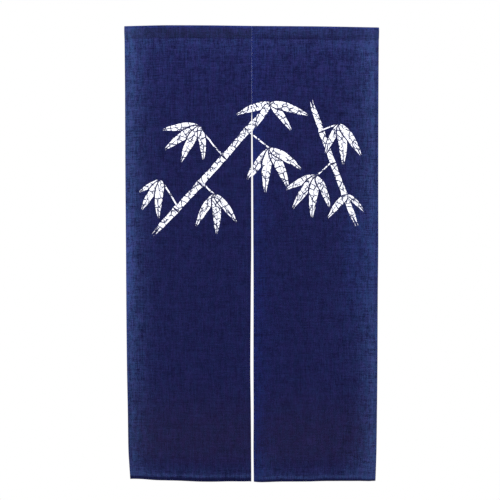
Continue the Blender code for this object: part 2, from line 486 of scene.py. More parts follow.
# %% [markdown]
# ## Making the two panels
# Blender takes the points and faces as one mesh, whose faces should look outwards. Which way they look
# depends on the order of the grid's corners, and that turns over between a panel and its mirror image.
# The volume inside tells: where it comes out negative, the faces are turned round.

# %% Making the two panels
def add_object(name, data):
    """A new object in the scene."""
    made = bpy.data.objects.new(name, data)
    bpy.context.scene.collection.objects.link(made)
    return made


def mesh_object(name, points, faces):
    """A smooth-shaded object from an array of points and a list of faces."""
    mesh = bpy.data.meshes.new(name)
    mesh.from_pydata(points.tolist(), [], faces)
    mesh.shade_smooth()
    return add_object(name, mesh)


def volume_of(points, faces):
    """Signed volume inside quads, which is negative if they face inwards."""
    a, b, c, d = (points[faces[:, i]] for i in range(4))
    return float(np.einsum("ij,ij->i", a, np.cross(b, c) + np.cross(c, d)).sum()) / 6


def weave_panel(side):
    """One panel of the noren as a closed sheet of cloth."""
    points = sheet_grid(side)
    half = grid_normals(points) * CLOTH / 2
    both = np.concatenate(((points - half).reshape(-1, 3), (points + half).reshape(-1, 3)))
    rows, columns = points.shape[:2]
    faces = sheet_faces(rows, columns)
    if volume_of(both, faces) < 0:
        faces = faces[:, ::-1]
    made = mesh_object("cloth_" + side, both, faces.tolist())
    down = np.broadcast_to(cut_lengths(points)[:, None], (rows, columns)).ravel()
    over = np.broadcast_to(CUT_ACROSS * SIDES[side], (rows, columns)).ravel()
    flat = np.tile(np.stack((over, down), axis=-1), (2, 1))
    loops = np.empty(len(made.data.loops), int)
    made.data.loops.foreach_get("vertex_index", loops)
    layer = made.data.uv_layers.new(name="flat_cloth")
    layer.uv.foreach_set("vector", flat[loops].ravel())
    return made, (float(np.ptp(CUT_ACROSS)), float(np.ptp(down)))


cloths = {}
cuts = {}
for side in SIDES:
    cloths[side], cuts[side] = weave_panel(side)
    print(cloths[side].name, "cut in mm:", [round(length / MM) for length in cuts[side]])

# %% [markdown]
# ## Seam and foot on the flat cloth
# The wear and the painted highlights and shade are placed on the flat cloth, from the top edge down, but
# the seam and the foot are known by how far they hang. The two differ, because the way round the rod takes
# more cloth than its drop. That slack could be worked out from the pocket's curve. Measuring it on the
# woven sheet is simpler and surer.

# %% Seam and foot on the flat cloth
def row_below_seam():
    """The first row of the panel's face below the line of stitches."""
    drops = np.array([row.drop[0] for row in PATH])
    highest = int(np.argmin(drops))
    return highest + int(np.argmax(drops[highest:] > STITCH_LINE))


SEAM_ROW = row_below_seam()
SLACK = float(cut_lengths(sheet_grid("left"))[SEAM_ROW] - PATH[SEAM_ROW].drop[0])
print("slack in the pocket in mm:", round(SLACK / MM, 1))

# %% [markdown]
# ## Thread
# Three seams show on a noren: the line under the rod pocket, the hems, and the join between the panels.
# The first two are machine stitches, short threads end to end with a dip between them. A dashed texture
# would do from a step away, but a thread catches the light as a small round thing does, so each stitch is
# a spindle of sixteen triangles, and all the stitches of a panel are one mesh.

# %% Thread
STITCH = 3.4 * MM
STITCH_SHARE = 0.86            # of the pitch that the thread covers
THREAD = 0.21 * MM             # radius
SPINDLE = [(-0.5, 0.0), (-0.34, 1.0), (0.34, 1.0), (0.5, 0.0)]


def spindles(starts, ends, normals, radius):
    """Points and faces of one thin spindle from each start to each end."""
    along = ends - starts
    side_way = np.cross(along, normals)
    side_way /= np.linalg.norm(side_way, axis=1, keepdims=True)
    middle = (starts + ends) / 2
    turns = [(math.cos(a), math.sin(a)) for a in np.radians([45, 135, 225, 315])]
    rings = [middle + along * SPINDLE[0][0]]
    for place, width in SPINDLE[1:3]:
        for over, out in turns:
            rings.append(middle + along * place + (side_way * over + normals * out) * radius * width)
    rings.append(middle + along * SPINDLE[3][0])
    points = np.stack(rings, axis=1).reshape(-1, 3)
    one = [(0, 1 + (i + 1) % 4, 1 + i, 0) for i in range(4)]
    one += [(1 + i, 1 + (i + 1) % 4, 5 + (i + 1) % 4, 5 + i) for i in range(4)]
    one += [(5 + i, 5 + (i + 1) % 4, 9, 5 + i) for i in range(4)]
    shift = np.arange(len(starts)) * len(rings)
    faces = [tuple(dict.fromkeys(int(s) + k for k in face)) for s in shift for face in one]
    return points, faces


print("stitches along one side hem, about:", round((DROP - STITCH_LINE) / STITCH))

# %% [markdown]
# ## Lines of machine stitches
# Each panel has a line under its pocket, one along each side hem and one along the foot. They show on
# the face, and again on the back, where the thread lies on the last layer of the hem. Stops are marked
# one stitch apart on the flat cloth and then hung with it, so a line of stitches follows every fold.

# %% Lines of machine stitches
def stitch_line(side, across, drop, depth, outward):
    """Stitches along a line on the cloth, given as arrays of its ends' places and one depth."""
    lift = depth + unevenness(side, across, drop)
    places = cloth_place(side, across, drop, lift)
    normals = back_normal(side, across, drop) * outward
    step = places[1:] - places[:-1]
    starts = places[:-1] + step * (1 - STITCH_SHARE) / 2
    ends = places[1:] - step * (1 - STITCH_SHARE) / 2
    return spindles(starts, ends, (normals[1:] + normals[:-1]) / 2, THREAD)


def even_stops(start, end):
    """Stops one stitch apart."""
    return np.linspace(start, end, round(abs(end - start) / STITCH) + 1)


def panel_stitches(side):
    """Every machine stitch of one panel: pocket, side hems and foot, on the face and on the back."""
    sunk = CLOTH / 2 + 0.3 * THREAD
    front = FACE - sunk
    hem_back = FACE + 2 * LAYER + sunk
    inset = 1.6 * MM
    over = even_stops(3 * MM, PANEL_WIDTH - 3 * MM)
    down = even_stops(STITCH_LINE + 4 * MM, DROP - 3 * MM)
    lines = []
    for place in (SIDE_HEM - inset, PANEL_WIDTH - SIDE_HEM + inset):
        lines.append((np.full_like(down, place), down, front, -1))
        lines.append((np.full_like(down, place), down, hem_back, 1))
    foot = np.full_like(over, DROP - BOTTOM_HEM + inset)
    top = np.full_like(over, STITCH_LINE + 0.4 * MM)
    inside = (over > SIDE_HEM + HEM_RUNOUT) & (over < PANEL_WIDTH - SIDE_HEM - HEM_RUNOUT)
    for line in (foot, top):
        lines.append((over, line, front, -1))
        lines.append((over[inside], line[inside], hem_back, 1))
    return [stitch_line(side, *line) for line in lines]


def joined(name, parts):
    """One object from several (points, faces) pairs."""
    points = np.concatenate([p for p, _ in parts])
    faces = []
    start = 0
    for part_points, part_faces in parts:
        faces += [tuple(start + k for k in face) for face in part_faces]
        start += len(part_points)
    return mesh_object(name, points, faces)


threads = {side: joined("thread_" + side, panel_stitches(side)) for side in SIDES}
for thread in threads.values():
    print(thread.name, "has", len(thread.data.vertices) // 10, "stitches")

# %% [markdown]
# ## The join between the panels
# The panels meet edge to edge and are joined by hand, with stitches that cross from one folded edge to
# the other. Where the slit begins, a bar of close stitches keeps the cloth from tearing further up. The
# same spindles serve here, with one end on each panel.

# %% The join between the panels
JOIN_STITCH = 6.5 * MM
JOIN_REACH = 1.3 * MM
BAR_REACH = 3.2 * MM
BAR_STITCHES = 8
BAR_PITCH = 2.1 * THREAD


def join_stitches():
    """Hand stitches across the join, and the bar that stops it from tearing further."""
    drops = np.arange(STITCH_LINE + 4 * MM, SEAM_END - 4 * MM, JOIN_STITCH)
    bar = SEAM_END + np.arange(BAR_STITCHES) * BAR_PITCH
    parts = []
    for rows, reach in ((drops, JOIN_REACH), (bar, BAR_REACH)):
        near = np.full_like(rows, reach)
        front = FACE - CLOTH / 2 - 0.2 * THREAD
        ends = [cloth_place(side, near, rows, front + unevenness(side, near, rows)) for side in SIDES]
        normals = -back_normal("right", near, rows)
        parts.append(spindles(ends[0], ends[1], normals, THREAD))
    return parts


join_thread = joined("join_thread", join_stitches())
print("stitches across the join:", len(join_thread.data.vertices) // 10)

# %% [markdown]
# ## Shorthand for node trees
# Materials are drawn by nodes, which compute a colour for each place on the cloth. Placing and linking
# them one by one in code is long-winded, so a small helper adds a node and fills its sockets with plain
# numbers or with other nodes' results. It also has words for the sums and shapes that come back often,
# such as a product, a straight line, an eased step, a ridge and a slow fall.

# %% Shorthand for node trees
class Wiring:
    """Adds nodes to one tree; a value is a plain number, a tuple or another node's socket."""

    def __init__(self, tree):
        self.tree = tree

    def put(self, socket, value):
        if isinstance(value, bpy.types.NodeSocket):
            self.tree.links.new(value, socket)
        else:
            socket.default_value = value

    def node(self, kind, inputs=None, **settings):
        made = self.tree.nodes.new(kind)
        for name, value in settings.items():
            setattr(made, name, value)
        for key, value in (inputs or {}).items():
            self.put(made.inputs[key], value)
        return made

    def math(self, operation, *values):
        made = self.node("ShaderNodeMath", operation=operation)
        for socket, value in zip(made.inputs, values):
            self.put(socket, value)
        return made.outputs[0]

    def times(self, product, *others):
        for other in others:
            product = self.math("MULTIPLY", product, other)
        return product

    def less(self, first, second):
        return self.math("SUBTRACT", first, second)

    def line(self, value, slope, start):
        """A straight line: start + slope * value."""
        return self.math("MULTIPLY_ADD", value, slope, start)

    def summed(self, total, *parts):
        """The total and a share of each part, given as pairs of part and share."""
        for part, share in parts:
            total = self.line(part, share, total)
        return total

    def ease(self, value, low, high):
        """0 at low and 1 at high, with soft ends."""
        inputs = {"Value": value, "From Min": low, "From Max": high}
        return self.node("ShaderNodeMapRange", inputs, interpolation_type="SMOOTHSTEP").outputs[0]

    def ridge(self, value, middle, width):
        """1 at the middle and 0 beyond the width, to both sides."""
        return self.ease(self.math("ABSOLUTE", self.less(value, middle)), width, 0.0)

    def falling(self, value, start, fade):
        """1 at the start, and about a third as much after each fade."""
        return self.math("EXPONENT", self.math("DIVIDE", self.less(value, start), -fade))

    def mixed(self, factor, first, second, way="MIX"):
        """Blend of two colours."""
        inputs = {"Factor": factor, 6: first, 7: second}
        return self.node("ShaderNodeMix", inputs, data_type="RGBA", blend_type=way).outputs[2]

    def vector(self, operation, inputs):
        return self.node("ShaderNodeVectorMath", inputs, operation=operation).outputs[0]

    def placed(self, vector, location, turn, scale):
        """The vector seen from a frame of its own, at location, turned and scaled."""
        inputs = {"Vector": vector, "Location": location, "Rotation": turn, "Scale": scale}
        return self.node("ShaderNodeMapping", inputs, vector_type="TEXTURE").outputs[0]

    def split(self, vector):
        made = self.node("ShaderNodeSeparateXYZ", {"Vector": vector})
        return made.outputs[0], made.outputs[1]

    def noise(self, vector, across, down, detail=2.0):
        """Noise about 0, in blotches of this size in metres."""
        spread = self.placed(vector, (0, 0, 0), (0, 0, 0), (across, down, 1))
        made = self.node("ShaderNodeTexNoise", {"Vector": spread, "Scale": 1.0, "Detail": detail})
        return self.less(made.outputs["Fac"], 0.5)


print("words for nodes:", ", ".join(word for word in vars(Wiring) if not word.startswith("_")))

# %% [markdown]
# ## The white figure: bamboo
# The cloth is dyed indigo around a white figure. Bamboo is a common one on noren: canes with joints, and
# sprays of narrow leaves. An image would be the usual way to put a picture on cloth, but a shape given by
# a formula stays sharp at any distance, and its edges can be worn and cracked by the same nodes.
#
# One node group draws a leaf. It turns the cloth's own measures into a frame of the leaf's: along it from
# 0 to 1 and across it from -1 to 1. There the outline is a curve that rises fast from the stalk and runs
# out to a point. Each leaf also cuts a thin gap into what was drawn before it, as a dyer's stencil does, so
# leaves that cross stay apart. Its vein widens at the tip and splits it, like the dry end of a brush.

# %% A leaf by formula
LEAF_SWELL = 2.6               # brings the widest place of a leaf to 1


def figure_group(name, more):
    """Empty node group with the sockets that every piece of the figure has."""
    tree = bpy.data.node_groups.new(name, "ShaderNodeTree")
    for socket in ("Place", "Root", "Turn", "Size"):
        tree.interface.new_socket(socket, in_out="INPUT", socket_type="NodeSocketVector")
    for socket in more + ["Under"]:
        tree.interface.new_socket(socket, in_out="INPUT", socket_type="NodeSocketFloat")
    tree.interface.new_socket("Figure", in_out="OUTPUT", socket_type="NodeSocketFloat")
    wires = Wiring(tree)
    source = wires.node("NodeGroupInput").outputs
    local = wires.placed(source["Place"], source["Root"], source["Turn"], source["Size"])
    along, over = wires.split(local)
    arch = wires.times(along, wires.less(1.0, along), source["Bend"], 4.0)
    over = wires.math("ABSOLUTE", wires.less(over, arch))
    return tree, wires, source, along, over


def finish_group(tree, wires, source, shape, cut):
    """What was drawn before, less the cut, with the new shape over it."""
    kept = wires.math("MINIMUM", source["Under"], wires.less(1.0, cut))
    wires.node("NodeGroupOutput", {"Figure": wires.math("MAXIMUM", kept, shape)})
    return tree


def leaf_group():
    """A narrow leaf with a split tip."""
    tree, wires, source, along, over = figure_group("bamboo_leaf", ["Bend"])
    rise = wires.math("POWER", along, 0.5)
    outline = wires.times(rise, wires.less(1.0, along), LEAF_SWELL)
    inside = wires.less(outline, over)
    vein = wires.line(wires.math("POWER", along, 4.0), 0.15, 0.015)
    leaf = wires.times(wires.ease(inside, 0.02, 0.09), wires.ease(wires.less(over, vein), 0.0, 0.06))
    off_middle = wires.math("ABSOLUTE", wires.less(along, 0.5))
    within = wires.math("LESS_THAN", off_middle, 0.53)
    cut = wires.times(wires.ease(inside, -0.30, -0.22), within)
    return finish_group(tree, wires, source, leaf, cut)


LEAF = leaf_group()
print("nodes in a leaf:", len(LEAF.nodes))

# %% [markdown]
# ## A cane by formula
# The same frame serves a cane, and a twig is a cane of one piece. Its joints cut a cane into pieces, which
# flare a little at their ends. The two ends of a whole cane run dry: they narrow and split down the
# middle, as the last of a brush stroke does.

# %% A cane by formula
FLARE_FROM = 0.86              # half width of a cane between its joints
FLARE_BY = 0.22                # and how much more it has at a joint


def cane_group():
    """A cane whose joints are gaps between slightly flared pieces, and whose two ends run dry."""
    tree, wires, source, along, over = figure_group("bamboo_cane", ["Bend", "Joints"])
    off_middle = wires.math("ABSOLUTE", wires.less(along, 0.5))
    jointed = wires.math("GREATER_THAN", source["Joints"], 1.5)
    dry = wires.times(wires.ease(off_middle, 0.40, 0.5), jointed)
    piece = wires.math("FRACT", wires.times(along, source["Joints"]))
    from_middle = wires.math("ABSOLUTE", wires.line(piece, 2.0, -1.0))
    flare = wires.line(wires.math("POWER", from_middle, 8.0), FLARE_BY, FLARE_FROM)
    inside = wires.less(wires.line(dry, -0.5, flare), over)
    joint_gap = wires.ease(wires.line(over, -0.03, from_middle), 0.95, 0.93)
    dry_split = wires.ease(wires.line(dry, -0.36, over), -0.02, 0.03)
    within = wires.math("LESS_THAN", off_middle, 0.5)
    cane = wires.times(wires.ease(inside, 0.0, 0.08), joint_gap, dry_split, within)
    cut = wires.times(wires.ease(inside, -0.35, -0.27), within)
    return finish_group(tree, wires, source, cane, cut)


CANE = cane_group()
print("nodes in a cane:", len(CANE.nodes))

# %% [markdown]
# ## Where the canes and leaves go
# The figure fills the upper middle of the noren and runs over the slit, so that the panels belong
# together. It is laid out one by one: a long cane that leans across both panels, a short one at the right,
# thin twigs from their joints, and a spray of leaves at the end of each twig. Places are on the flat cloth
# in millimetres, across from the slit and down from the top edge. Angles are from straight down, in
# degrees, positive to the right.

# %% Where the canes and leaves go
Cane = namedtuple("Cane", "foot_across foot_down top_across top_down width bend joints")
CANES = [
    Cane(-333, 704, 62, 262, 25, 0.5, 5),
    Cane(350, 668, 196, 250, 21, -0.4, 4),
]
TWIGS = [
    Cane(-248, 604, -300, 522, 5.5, 0.5, 1),
    Cane(-172, 519, -122, 566, 5.5, 0.4, 1),
    Cane(-96, 436, -172, 344, 5.5, -0.6, 1),
    Cane(-18, 352, 56, 412, 5.5, -0.5, 1),
    Cane(268, 452, 214, 502, 5.0, 0.4, 1),
    Cane(231, 350, 292, 330, 5.0, -0.4, 1),
]
Spray = namedtuple("Spray", "across down leaves")
SPRAYS = [
    Spray(-300, 520, [(-62, 92), (-34, 128), (-4, 138)]),
    Spray(-122, 566, [(-30, 132), (2, 142), (38, 126)]),
    Spray(-172, 342, [(-84, 134), (-56, 150), (-27, 146), (6, 120)]),
    Spray(58, 412, [(-34, 138), (-6, 158), (24, 160), (56, 134)]),
    Spray(62, 262, [(-70, 128), (-32, 104), (36, 120), (72, 142)]),
    Spray(214, 502, [(-66, 124), (-36, 146), (-6, 150), (22, 122)]),
    Spray(292, 330, [(-26, 118), (4, 146), (34, 134)]),
    Spray(318, 563, [(-40, 112), (44, 84)]),
]
print("canes and twigs:", len(CANES + TWIGS), "leaves:", sum(len(s.leaves) for s in SPRAYS))

# %% [markdown]
# ## Drawing the figure
# Each piece is a copy of its group, fed with its place, turn and size, and with what was drawn before it.
# So the pieces form a chain, and later ones lie over earlier ones. Noise is added to the measures first,
# which lets every edge stray by a few millimetres, as the edge of a hand-cut stencil does.

# %% Drawing the figure
LEAF_WIDTH = 0.205             # of a leaf's length
LEAF_BEND = 0.34
STRAY = 6.0 * MM               # how far the edges of the stencil wander


def place_cane(wires, place, under, row):
    """One cane or twig, drawn over what is there."""
    across, down = row.top_across - row.foot_across, row.top_down - row.foot_down
    values = {
        "Place": place, "Root": (row.foot_across * MM, row.foot_down * MM, 0),
        "Turn": (0, 0, math.atan2(down, across)),
        "Size": (math.hypot(across, down) * MM, row.width / 2 * MM, 1),
        "Bend": row.bend, "Joints": float(row.joints), "Under": under,
    }
    return wires.node("ShaderNodeGroup", values, node_tree=CANE).outputs[0]


def place_leaf(wires, place, under, spray, angle, length):
    """One leaf of a spray, which bends towards the ground."""
    values = {
        "Place": place, "Root": (spray.across * MM, spray.down * MM, 0),
        "Turn": (0, 0, math.radians(90 - angle)),
        "Size": (length * MM, length * LEAF_WIDTH / 2 * MM, 1),
        "Bend": math.copysign(LEAF_BEND, -angle), "Under": under,
    }
    return wires.node("ShaderNodeGroup", values, node_tree=LEAF).outputs[0]


def figure(wires, flat):
    """The whole figure, 1 on white and 0 on indigo."""
    wobble = wires.node("ShaderNodeTexNoise", {"Vector": flat, "Scale": 34.0, "Detail": 3.0})
    centred = wires.vector("SUBTRACT", {0: wobble.outputs["Color"], 1: (0.5, 0.5, 0.5)})
    shift = wires.vector("SCALE", {0: centred, "Scale": STRAY})
    place = wires.vector("ADD", {0: flat, 1: shift})
    drawn = 0.0
    for row in CANES + TWIGS:
        drawn = place_cane(wires, place, drawn, row)
    for spray in SPRAYS:
        for angle, length in spray.leaves:
            drawn = place_leaf(wires, place, drawn, spray, angle, length)
    return drawn


longest = max(length for spray in SPRAYS for _, length in spray.leaves)
print("longest leaf in mm:", longest, "and its width:", round(longest * LEAF_WIDTH, 1))

# %% [markdown]
# ## Cracks in the white
# The white was kept by wax while the cloth was dyed. Wax cracks when the cloth is handled, and dye creeps
# in along the cracks, so dark lines run across every stroke. Voronoi cells have straight edges that meet
# like such cracks. Three sizes are used, from few and wide to many and fine, and noise thins them out and
# breaks them off, because an unbroken net would look like tiles. A faint smudge of dye lies between.

# %% Cracks in the white
Crack = namedtuple("Crack", "cell width least")
CRACKS = [
    Crack(25, 3.8, -0.1),
    Crack(16, 2.8, 0.02),
    Crack(8, 1.2, 0.13),
]
CRACK_BEND = 9 * MM
SMUDGE = 0.36


def cracks(wires, flat):
    """1 on a crack and 0 beside it, with every depth of colour between."""
    bent = wires.node("ShaderNodeTexNoise", {"Vector": flat, "Scale": 60.0, "Detail": 7.0})
    shift = wires.vector("SCALE", {0: bent.outputs["Color"], "Scale": CRACK_BEND})
    place = wires.vector("ADD", {0: flat, 1: shift})
    found = wires.times(wires.ease(wires.noise(flat, 13 * MM, 11 * MM, 4.0), 0.06, 0.26), SMUDGE)
    for row in CRACKS:
        cell, share = row.cell * MM, row.width / row.cell / 2
        spread = wires.placed(place, (0.3, 0.1, 0), (0, 0, 0.04 * row.cell), (cell, cell * 0.8, 1))
        edge = wires.node(
            "ShaderNodeTexVoronoi", {"Vector": spread, "Scale": 1.0, "Randomness": 1.0},
            feature="DISTANCE_TO_EDGE", voronoi_dimensions="2D",
        ).outputs["Distance"]
        swell = wires.line(wires.noise(flat, 7 * MM, 7 * MM), 1.8 * share, edge)
        there = wires.ease(wires.noise(flat, 1.2 * cell, 1.2 * cell), row.least, row.least + 0.05)
        dark = wires.times(wires.ease(swell, 1.2 * share, 0.8 * share), there)
        found = wires.math("MAXIMUM", found, dark)
    return found


print("widths of the cracks in mm:", [row.width for row in CRACKS])

# %% [markdown]
# ## The weave and its yarn
# The cloth is a plain weave of uneven linen yarn. Close to, one thread passes over the next at every
# crossing, by turns. Two sine waves give the crossings: where their product is positive the upright thread
# lies on top, and elsewhere the level one. From a step away that is gone, and what is left is the yarn
# itself: threads that took more or less dye, thick places a finger long, and bands where a whole group of
# threads runs loose. Noise that is smooth across the threads would look like smoke from near by. So a
# thread's number, found by rounding, picks its noise, which then changes only along the thread. The bands
# and the larger blotches are smooth, and each set of threads shows its own where it is on top.
#
# The same noise also raises the slubs. Colour alone would look printed on, but relief shows more where a
# lamp rakes the cloth and less where the light is even, as on real linen.

# %% The weave and its yarn
THREAD_PITCH = 0.95 * MM
Streak = namedtuple("Streak", "length tone relief")
STREAKS = [
    Streak(70, 1.9, 0.5),
    Streak(17, 2.0, 0.8),
]
Band = namedtuple("Band", "wide length tone relief")
BANDS = [
    Band(4.6, 15, 0.9, 0.6),
    Band(6.5, 120, 0.7, 0.2),
    Band(28, 44, 0.8, 0.0),
]
WARP_SHARE = 1.15              # the upright threads show a little more
NUMBER_STEP = 3.71             # from one thread's noise to the next one's


def plain_weave(wires, flat):
    """Height of the threads at each crossing, and 1 where the upright thread is on top."""
    over, down = wires.split(flat)
    waves = [wires.math("SINE", wires.times(way, math.pi / THREAD_PITCH)) for way in (over, down)]
    on_top = wires.math("GREATER_THAN", wires.times(*waves), 0.0)
    round_over, round_down = (wires.math("ABSOLUTE", wave) for wave in waves)
    upright = wires.times(round_over, wires.math("POWER", round_down, 0.4))
    level = wires.times(round_down, wires.math("POWER", round_over, 0.4))
    height = wires.node("ShaderNodeMix", {"Factor": on_top, "A": level, "B": upright}).outputs[0]
    return height, on_top


def thread_noise(wires, crossing, along, length):
    """Noise about 0 that belongs to one thread and changes along it."""
    number = wires.math("FLOOR", wires.math("DIVIDE", crossing, THREAD_PITCH))
    so_far = wires.math("DIVIDE", along, length * MM)
    place = wires.node("ShaderNodeCombineXYZ", {0: wires.times(number, NUMBER_STEP), 1: so_far, 2: length})
    made = wires.node("ShaderNodeTexNoise", {"Vector": place.outputs[0], "Scale": 1.0, "Detail": 1.0})
    return wires.less(made.outputs["Fac"], 0.5)


def yarn(wires, flat, on_top):
    """Tone and relief of the threads, both about 0."""
    over, down = wires.split(flat)
    sides = []
    for crossing, along, upright in ((over, down, True), (down, over, False)):
        tone, relief = 0.0, 0.0
        for row in STREAKS:
            streak = thread_noise(wires, crossing, along, row.length)
            tone = wires.line(streak, row.tone, tone)
            relief = wires.line(streak, row.relief, relief)
        for row in BANDS:
            size = (row.wide * MM, row.length * MM)
            band = wires.noise(flat, *(size if upright else size[::-1]))
            tone = wires.line(band, row.tone, tone)
            relief = wires.line(band, row.relief, relief)
        sides.append((wires.times(tone, WARP_SHARE if upright else 1.0), relief))
    share = wires.line(on_top, 0.7, 0.15)
    return [
        wires.node("ShaderNodeMix", {"Factor": share, "A": level, "B": raised}).outputs[0]
        for raised, level in zip(*sides)
    ]


print("threads across a panel:", round(PANEL_WIDTH / THREAD_PITCH))

# %% [markdown]
# ## Measures on the flat cloth
# Indigo rubs off wherever cloth is folded, handled or brushed past, so wear is known by where it is: so
# far from a side, the slit, the seam or the foot. The painted highlights and shade are placed by the same
# measures. All of it could be painted by hand on a map of the cloth. Here each mark is worked out from such
# measures, so it can be moved or weakened alone.

# %% Measures on the flat cloth
SEAM_CUT = STITCH_LINE + SLACK   # the line under the pocket
JOIN_CUT = SEAM_END + SLACK      # where the join ends
FOOT_CUT = DROP + SLACK          # the foot's fold
Measures = namedtuple("Measures", "down seam join foot slit side right left")


def measured(wires, flat):
    """Distances down, past three lines and from two edges, and 1 on the right or the left panel."""
    over, down = wires.split(flat)
    past = [wires.less(down, line) for line in (SEAM_CUT, JOIN_CUT, FOOT_CUT)]
    from_slit = wires.math("ABSOLUTE", over)
    at_right = wires.line(wires.math("SIGN", over), 0.5, 0.5)
    at_left = wires.less(1.0, at_right)
    return Measures(down, *past, from_slit, wires.less(PANEL_WIDTH, from_slit), at_right, at_left)


lines = {"pocket": SEAM_CUT, "join": JOIN_CUT, "foot": FOOT_CUT}
print("lines on the flat cloth in mm:", {name: round(cut / MM, 1) for name, cut in lines.items()})

# %% [markdown]
# ## Wear and painted highlight at the sides and the slit
# The hems at the outer sides are palest, and the paleness fades over a hand's width. It is partly wear and
# partly a painted highlight, where the curled edges catch the side lamps. Down to about a metre it is
# stronger at the left and reaches further in at the right. The right panel's edge of the slit is a clearer
# blue below the join than beside it, again partly wear and partly painted highlight on its curled edge.

# %% Wear and painted highlight at the sides and the slit
# The hems' paleness is partly wear and partly painted highlight on the curled edges.
HEM_WORN_AND_LIT = 19 * MM
SIDE_FADE = 28 * MM
SLIT_FADE = 26 * MM


def side_wear_and_highlight(wires, at):
    """Rubbing and painted highlight along the outer hems and their stitches, where the curled edges catch
    the side lamps.
    """
    upper_drop = wires.ease(at.down, 1300 * MM, 1000 * MM)
    low_left = wires.times(wires.ease(at.down, 1150 * MM, 1300 * MM), at.left)
    amount = wires.summed(0.8, (wires.times(upper_drop, at.left), 0.36), (low_left, -0.13))
    past_hem = wires.math("MAXIMUM", wires.less(at.side, HEM_WORN_AND_LIT), 0.0)
    reach = wires.line(wires.times(upper_drop, at.right), 0.5, 1.0)
    total = wires.times(wires.falling(wires.math("DIVIDE", past_hem, reach), 0.0, SIDE_FADE), amount)
    stitched = wires.ridge(at.side, 17 * MM, 7 * MM)
    return wires.summed(total, (wires.times(total, at.right), 0.13), (stitched, 0.2))


def slit_wear_and_highlight(wires, at):
    """Clearer blue beside the slit, partly rubbing and partly a painted highlight on the right panel's
    curled edge.
    """
    opened = wires.ease(at.down, SEAM_END - 40 * MM, SEAM_END + 20 * MM)
    amount = wires.line(at.right, wires.line(opened, 0.36, 0.36), 0.04)
    return wires.times(wires.falling(at.slit, 0.0, SLIT_FADE), amount)


print("wear falls to a third in", round(SIDE_FADE / MM), "mm, and at the slit in", round(SLIT_FADE / MM))

# %% [markdown]
# ## Smaller marks
# Each row of the table is one mark: the panel it is on, the shapes whose product places it, and how much
# it adds to the pale colour of wear and highlight, the clear blue, the pale blue of the left edge's
# highlight or the soil. A shape is a step, a ridge or a fall over one measure, in millimetres. Most marks
# are painted highlights where the cloth turns to a lamp: the left folded edge, a wash on the right side,
# the join, the fold over the rod, which is also rubbed, the cloth just under the pocket, the foot's band
# and hem line, and the right panel's curled corners. The pocket has kept its dye, but for its right end,
# and the foot's own fold stays dark, because it is turned from the light: that is painted shade.

# %% Smaller marks
Mark = namedtuple("Mark", "panel shapes adds")
MARKS = [
    # Painted highlight on the left folded edge where it catches the left lamp: narrow down to about a
    # metre, and a wider patch at mid-height.
    Mark("left", [("ridge", "side", 0, 8), ("ease", "down", 1300, 1000)], {"worn": 0.8}),
    Mark("left", [("ridge", "side", 0, 38), ("ridge", "down", 785, 340)], {"hand": 1.25}),
    # A painted wash of side light along the right side at that height, and a strip above it that is given
    # less of the side's paleness.
    Mark("right", [("ease", "side", 140, 95), ("ridge", "down", 785, 340)], {"worn": 0.12, "blue": 0.2}),
    Mark("right", [("ridge", "side", 8, 17), ("ease", "down", 1000, 850)], {"worn": -0.42}),
    # Painted highlights on the join's folded edges, on the fold over the rod, which is also rubbed, and on
    # the cloth just under the pocket, which leans out towards the lamp above.
    Mark("both", [("ridge", "slit", 0, 3), ("ease", "join", 0, -9)], {"blue": 1.0}),
    Mark("both", [("ridge", "down", 4, 13)], {"worn": 0.18, "blue": 0.8}),
    Mark("both", [("falling", "seam", 0, 42), ("ease", "seam", -1, 3)], {"worn": 0.28}),
    # Painted highlights on the foot's band, on the line of its hem where the stitches pucker, and on two
    # corners that curl back.
    Mark("both", [("ease", "foot", -60, -20)], {"worn": 0.2}),
    Mark("both", [("ridge", "foot", -16, 9)], {"worn": 0.5}),
    Mark("right", [("ease", "slit", 120, 40), ("ease", "foot", -130, -60)], {"worn": 0.2}),
    Mark("right", [("ease", "side", 140, 60), ("ease", "foot", -130, -60)], {"worn": 0.2}),
    # Soil low down, where shoes and brooms pass.
    Mark("both", [("ridge", "down", 1380, 240), ("ease", "down", 1500, 1420)], {"soil": 0.12}),
]
# How far down from the top edge the painted raking light reaches in the yarn's contrast.
LIGHT_FADE = 250 * MM


def place_mark(wires, at, mark):
    """1 where the mark is and 0 elsewhere."""
    factors = [getattr(at, mark.panel)] if mark.panel != "both" else []
    for shape, measure, first, second in mark.shapes:
        factors.append(getattr(wires, shape)(getattr(at, measure), first * MM, second * MM))
    return wires.times(*factors)


def wear_and_painted_light(wires, flat, at):
    """Shares of the pale colours of rubbing and of painted highlight, of the soil, of the yarn's contrast
    and of the foot's painted shade.
    """
    spared = wires.line(wires.ease(at.seam, 2 * MM, -10 * MM), -0.22, 1.0)
    right_pocket = wires.times(wires.ease(at.down, 46 * MM, 32 * MM), at.right, 0.25)
    sides = wires.math("MAXIMUM", wires.times(side_wear_and_highlight(wires, at), spared), right_pocket)
    shares = {"worn": sides, "blue": slit_wear_and_highlight(wires, at), "hand": 0.0, "soil": 0.0}
    for mark in MARKS:
        there = place_mark(wires, at, mark)
        for name, amount in mark.adds.items():
            shares[name] = wires.line(there, amount, shares[name])
    # Painted shade: the foot's own fold is turned from the light, so it is kept dark and loses the pale
    # colours.
    under = wires.ease(at.foot, -12 * MM, -5 * MM)
    total = wires.times(shares["worn"], wires.line(under, -0.95, 1.0))
    patchy = wires.line(wires.noise(flat, 12 * MM, 60 * MM, 3.0), 1.3, 1.0)
    # Painted raking light: the yarn's contrast is raised near the top and on the pale edges, where the
    # lamps rake the cloth.
    painted_top_rake = wires.falling(wires.math("MAXIMUM", at.down, 0.0), 0.0, LIGHT_FADE)
    shares.update(worn=wires.times(total, patchy), faded=wires.math("ADD", painted_top_rake, total), under=under)
    return shares


print("marks of wear:", len(MARKS))

